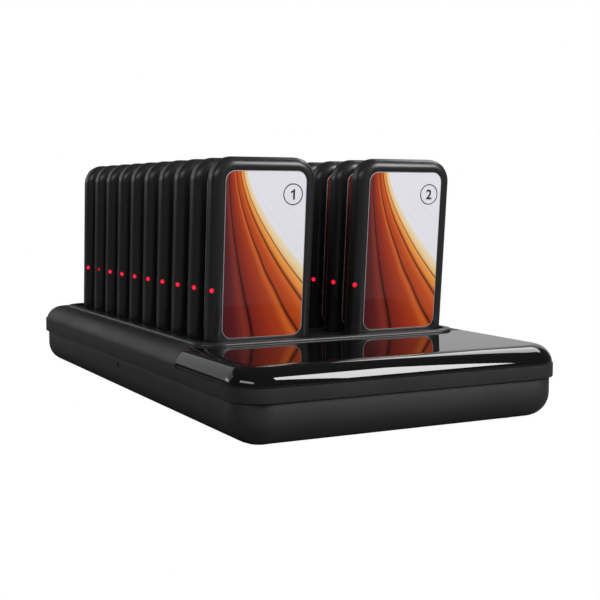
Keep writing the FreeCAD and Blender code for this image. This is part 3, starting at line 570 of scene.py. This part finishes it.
def pager_front_mesh():
    """Front half of the case, with a small step that the window sits in."""
    rings = [slab_ring(PAGER_WALL, 3.6 * MM, 7 * MM), slab_ring(PAGER_WALL, SPLIT),
             slab_ring(0.35 * MM, SPLIT), slab_ring(0.12 * MM, SPLIT - 0.05 * MM),
             slab_ring(0, SPLIT - 0.2 * MM)]
    rings += edge_rings(1, 0)
    rings += [slab_ring(PAGER_ROUND + 0.15 * MM, 0), label_ring(-0.25 * MM, 0),
              label_ring(-0.12 * MM, 0.06 * MM), label_ring(-0.1 * MM, 1.2 * MM)]
    return skin("pager_front", rings)


def pager_rear_mesh():
    """Rear cover, with a well for each of its four screws."""
    rings = [slab_ring(PAGER_WALL, PAGER_DEPTH - 3.4 * MM, 7 * MM),
             slab_ring(PAGER_WALL, SPLIT + 0.02 * MM),
             slab_ring(0.35 * MM, SPLIT + 0.02 * MM), slab_ring(0.12 * MM, SPLIT + 0.07 * MM),
             slab_ring(0, SPLIT + 0.22 * MM)]
    rings += edge_rings(-1, PAGER_DEPTH)[1:]
    rings += [slab_ring(PAGER_ROUND + 0.15 * MM, PAGER_DEPTH),
              slab_ring(PAGER_ROUND + 1.5 * MM, PAGER_DEPTH)]
    mesh = skin("pager_rear", rings)
    wells = [turned("well", [(2 * MM, PAGER_DEPTH - 2.4 * MM), (2 * MM, PAGER_DEPTH + 1 * MM)],
                    (u, 0, w), "Y", 24) for u, w in PAGER_SCREWS]
    return cut(mesh, merged("wells", wells))


def pager_face_mesh(made):
    """The window with its printed sheet, and a bevel all round that catches the light; the bevel is also
    coloured light grey as a painted highlight.
    """
    rings = [label_ring(0.02 * MM, 1.1 * MM), label_ring(0, 0.3 * MM), label_ring(0, 0.05 * MM),
             label_ring(0.1 * MM, -0.06 * MM), label_ring(0.28 * MM, -0.1 * MM),
             label_ring(0.4 * MM, -0.1 * MM)]
    mesh = skin("pager_face", rings)
    mesh.materials.append(made["label_print"])
    mesh.materials.append(made["pager_window"])
    layer = mesh.uv_layers.new(name="UVMap")
    for polygon in mesh.polygons:
        # The rim is made of quads, and the front of the sheet is the one cap that faces forward. The rim
        # takes the light grey window material, a painted highlight on top of its real gloss.
        rim = len(polygon.vertices) == 4 or polygon.normal.y > 0.5
        polygon.material_index = 1 if rim else 0
        for loop in polygon.loop_indices:
            at = mesh.vertices[mesh.loops[loop].vertex_index].co
            layer.data[loop].uv = ((at.x + LABEL_HALF) / (2 * LABEL_HALF), at.z / LABEL_HEIGHT)
    return mesh


def pager_light_mesh():
    """A low dome that looks out of the rounded left edge."""
    dome = [(LIGHT_RADIUS, 2.5 * MM), (LIGHT_RADIUS, -0.05 * MM), (1.42 * MM, -0.16 * MM),
            (1.2 * MM, -0.24 * MM), (0.8 * MM, -0.3 * MM), (0.4 * MM, -0.33 * MM), (0.1 * MM, -0.34 * MM)]
    mesh = turned("pager_light", dome, (-PAGER_ROUND, 0, 0), "X", 24)
    layer = mesh.uv_layers.new(name="UVMap")
    for loop in mesh.loops:
        at = mesh.vertices[loop.vertex_index].co
        layer.data[loop.index].uv = (math.hypot(at.y, at.z) / LIGHT_RADIUS, 0.5)
    mesh.transform(Matrix.Rotation(LIGHT_ANGLE, 4, "Z"))
    mesh.transform(Matrix.Translation((PAGER_ROUND - PAGER_HALF, PAGER_ROUND, LIGHT_HEIGHT)))
    return mesh


def pager_screw_mesh():
    """Four countersunk screws, drawn from the tip to the driver recess."""
    profile = [(0.75, 4), (0.75, 10.1), (1.8, 10.2), (1.8, 11.0), (1.5, 11.35), (0.6, 11.4), (0.5, 10.9)]
    profile = [(r * MM, h * MM) for r, h in profile]
    screws = [turned("screw", profile, (u, 0, w), "Y", 24) for u, w in PAGER_SCREWS]
    return merged("pager_screws", screws)


def pager_pad_mesh():
    """Two plated charging pads in the bottom edge, with a small bevel."""
    levels = ((0.15 * MM, PAGER_LOW + 0.1 * MM), (0, PAGER_LOW + 0.25 * MM), (0, PAGER_LOW + 2.5 * MM))
    pads = []
    for x in (-PAD_U, PAD_U):
        rings = []
        for inset, z in levels:
            outline = corner_ring(x - PAD_HALF_WIDE + inset, x + PAD_HALF_WIDE - inset,
                                  PAD_V - PAD_HALF_DEEP + inset, PAD_V + PAD_HALF_DEEP - inset, 0.5 * MM, 4)
            rings.append([(px, py, z) for px, py in outline])
        pads.append(skin("pad", rings))
    return merged("pager_pads", pads)


def typed(words, size):
    """Heavy digits centred on the origin."""
    text = bpy.data.curves.new("number", "FONT")
    text.body = words
    text.size, text.offset, text.extrude = size, 0.2 * MM, INK
    holder = bpy.data.objects.new("number", text)
    bpy.context.scene.collection.objects.link(holder)
    bpy.context.view_layer.update()
    digits = bpy.data.meshes.new_from_object(holder.evaluated_get(bpy.context.evaluated_depsgraph_get()))
    bpy.data.objects.remove(holder)
    xs = [v.co.x for v in digits.vertices]
    ys = [v.co.y for v in digits.vertices]
    digits.transform(Matrix.Translation((-(min(xs) + max(xs)) / 2, -(min(ys) + max(ys)) / 2, 0)))
    return digits


def number_mesh(number):
    """The pager's number in a thin ring, as ink of a few hundredths of a millimetre."""
    if number == 1:
        digits = prism("one", [(u * MM, v * MM) for u, v in DIGIT_ONE], -INK, INK)
    else:
        digits = typed(str(number), (8.0 if number < 10 else 6.4) * MM)
    edge = [(RING_INSIDE, -INK), (RING_OUTSIDE, -INK), (RING_OUTSIDE, INK), (RING_INSIDE, INK)]
    ring = turned("ring", edge, (0, 0, 0), "Z", 64, closed=True)
    mesh = merged("pager_number", [digits, ring])
    upright = Matrix.Rotation(math.radians(90), 4, "X")
    middle = Matrix.Translation((0.66 * LABEL_HALF, -0.12 * MM, 0.86 * LABEL_HEIGHT))
    mesh.transform(middle @ upright)
    return mesh


def pager_place(number):
    """From the pager's own axes to the base's. Odd numbers stand on the left, even on the right."""
    side = 1 if number % 2 == 0 else -1
    y = FIRST_PAGER_Y + (number - 1) // 2 * PAGER_PITCH
    return Matrix.Translation((side * ROW_X, y, LABEL_BOTTOM_Z)) @ Matrix.Rotation(LEAN, 4, "X")


def build_pagers(made):
    """Twenty pagers. Pager 1 is drawn over its separate CAD pieces, the others over one node each."""
    front, rear, face = pager_front_mesh(), pager_rear_mesh(), pager_face_mesh(made)
    light, screws, pads = pager_light_mesh(), pager_screw_mesh(), pager_pad_mesh()
    dim = light.copy()
    for number in range(1, 21):
        body = f"pager_{number:02d}"
        lens, glow = (dim, "light_dim") if number in DIM_LIGHTS else (light, "light_red")
        kinds = [("front", front, "pager_plastic"), ("rear", rear, "pager_plastic"),
                 ("face", face, "label_print"), ("light", lens, glow),
                 ("number", number_mesh(number), "label_ink")]
        if number > 1:
            kinds += [("screws", screws, "screw_steel"), ("pads", pads, "gold_contact")]
        for kind, mesh, slot in kinds:
            piece = add(f"{body}_{kind}_skin", mesh, [made[slot]])
            piece.matrix_world = pager_place(number)
            slot = {"label_ink": "label_print", "light_dim": "light_red"}.get(slot, slot)
            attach(piece, body)
        if number == 1:
            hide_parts("pager_01_front_shell")
            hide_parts("pager_01_rear_cover")
            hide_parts("pager_01_window", "pager_01_label")
            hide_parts("pager_01_light_guide")
        else:
            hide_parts(body)


# ---- CAD nodes that stay ----

def finish_nodes(made):
    """Every CAD node gets its slot's material."""
    for entry in frame["record"]["subparts"]:
        piece = frame["nodes"][entry["node"]]
        piece.data.materials.clear()
        piece.data.materials.append(made[entry["material_slot"]])


# ---- Room, light and camera ----

def seen_or_lit(tree, seen, lit):
    """Mix of what the camera sees directly and what lights the object."""
    direct = node(tree, "ShaderNodeLightPath").outputs["Is Camera Ray"]
    return node(tree, "ShaderNodeMixShader", {0: direct, 1: lit, 2: seen}).outputs[0]


def build_room():
    """A floor that the camera sees as plain white and that lights the object as grey."""
    floor = bpy.data.meshes.new("floor")
    far = 6.0
    floor.from_pydata([(-far, -far, 0), (far, -far, 0), (far, far, 0), (-far, far, 0)], [], [(0, 1, 2, 3)])
    made, tree, shader = material("floor", (FLOOR_GREY,) * 3, 0.9)
    white = node(tree, "ShaderNodeEmission", {"Color": (1, 1, 1, 1), "Strength": 1.0}).outputs[0]
    tree.links.new(seen_or_lit(tree, white, shader.outputs[0]), tree.nodes["Material Output"].inputs[0])
    add("floor", floor, [made])


def softbox(name, azimuth, elevation, wide, high, radiance, reflected=True):
    """A rectangle of light seen from the base's front edge. Angles in degrees, azimuth 0 is behind."""
    turn, rise = math.radians(azimuth), math.radians(elevation)
    target = Vector((0, -HALF_DEPTH, TOP_Z))
    away = Vector((math.sin(turn) * math.cos(rise), math.cos(turn) * math.cos(rise), math.sin(rise)))
    size = [2 * LIGHT_DISTANCE * math.tan(math.radians(angle / 2)) for angle in (wide, high)]
    lamp = bpy.data.lights.new(name, "AREA")
    lamp.shape, lamp.size, lamp.size_y = "RECTANGLE", *size
    lamp.energy = radiance * math.pi * size[0] * size[1]
    holder = bpy.data.objects.new(name, lamp)
    bpy.context.scene.collection.objects.link(holder)
    holder.location = target + away * LIGHT_DISTANCE
    holder.rotation_euler = away.to_track_quat("Z", "Y").to_euler()
    holder.visible_camera = False
    holder.visible_glossy = reflected


def build_light():
    """A dim room that the camera sees as white, and soft boxes round the object."""
    world = bpy.data.worlds.new("studio")
    bpy.context.scene.world = world
    world.use_nodes = True
    tree = world.node_tree
    white = node(tree, "ShaderNodeBackground", {"Color": (1, 1, 1, 1), "Strength": 1.0}).outputs[0]
    dim = node(tree, "ShaderNodeBackground", {"Color": (1, 1, 1, 1), "Strength": ROOM_GREY}).outputs[0]
    tree.links.new(seen_or_lit(tree, white, dim), tree.nodes["World Output"].inputs[0])
    softbox("key", 144, 32, 16, 30, 16)
    softbox("front_fill", 180, 62, 40, 30, 6, reflected=False)
    softbox("rim_strip", 70, 45, 35, 13, 5.5)
    softbox("backdrop_right", 47, 18, 28, 40, 0.56)
    softbox("backdrop_left", -27, 19, 47, 28, 0.6)
    softbox("corner_left", -38, 11, 14, 7, 2.5)
    softbox("side_left", -112, 27, 42, 9, 5)


def build_camera():
    """Low, to the left of the front, with a short telephoto lens."""
    lens = bpy.data.cameras.new("camera")
    lens.sensor_width, lens.lens = 36.0, CAMERA_LENS
    holder = bpy.data.objects.new("camera", lens)
    bpy.context.scene.collection.objects.link(holder)
    holder.location = CAMERA_PLACE
    holder.rotation_euler = (math.radians(90 - CAMERA_DIP), 0, math.radians(-CAMERA_TURN))
    bpy.context.scene.camera = holder


made = make_materials()
finish_nodes(made)
build_upper_case(made)
build_gloss_cover(made)
build_lower_case(made)
build_pagers(made)
build_room()
build_light()
build_camera()
bpy.context.scene.view_settings.view_transform = "Standard"
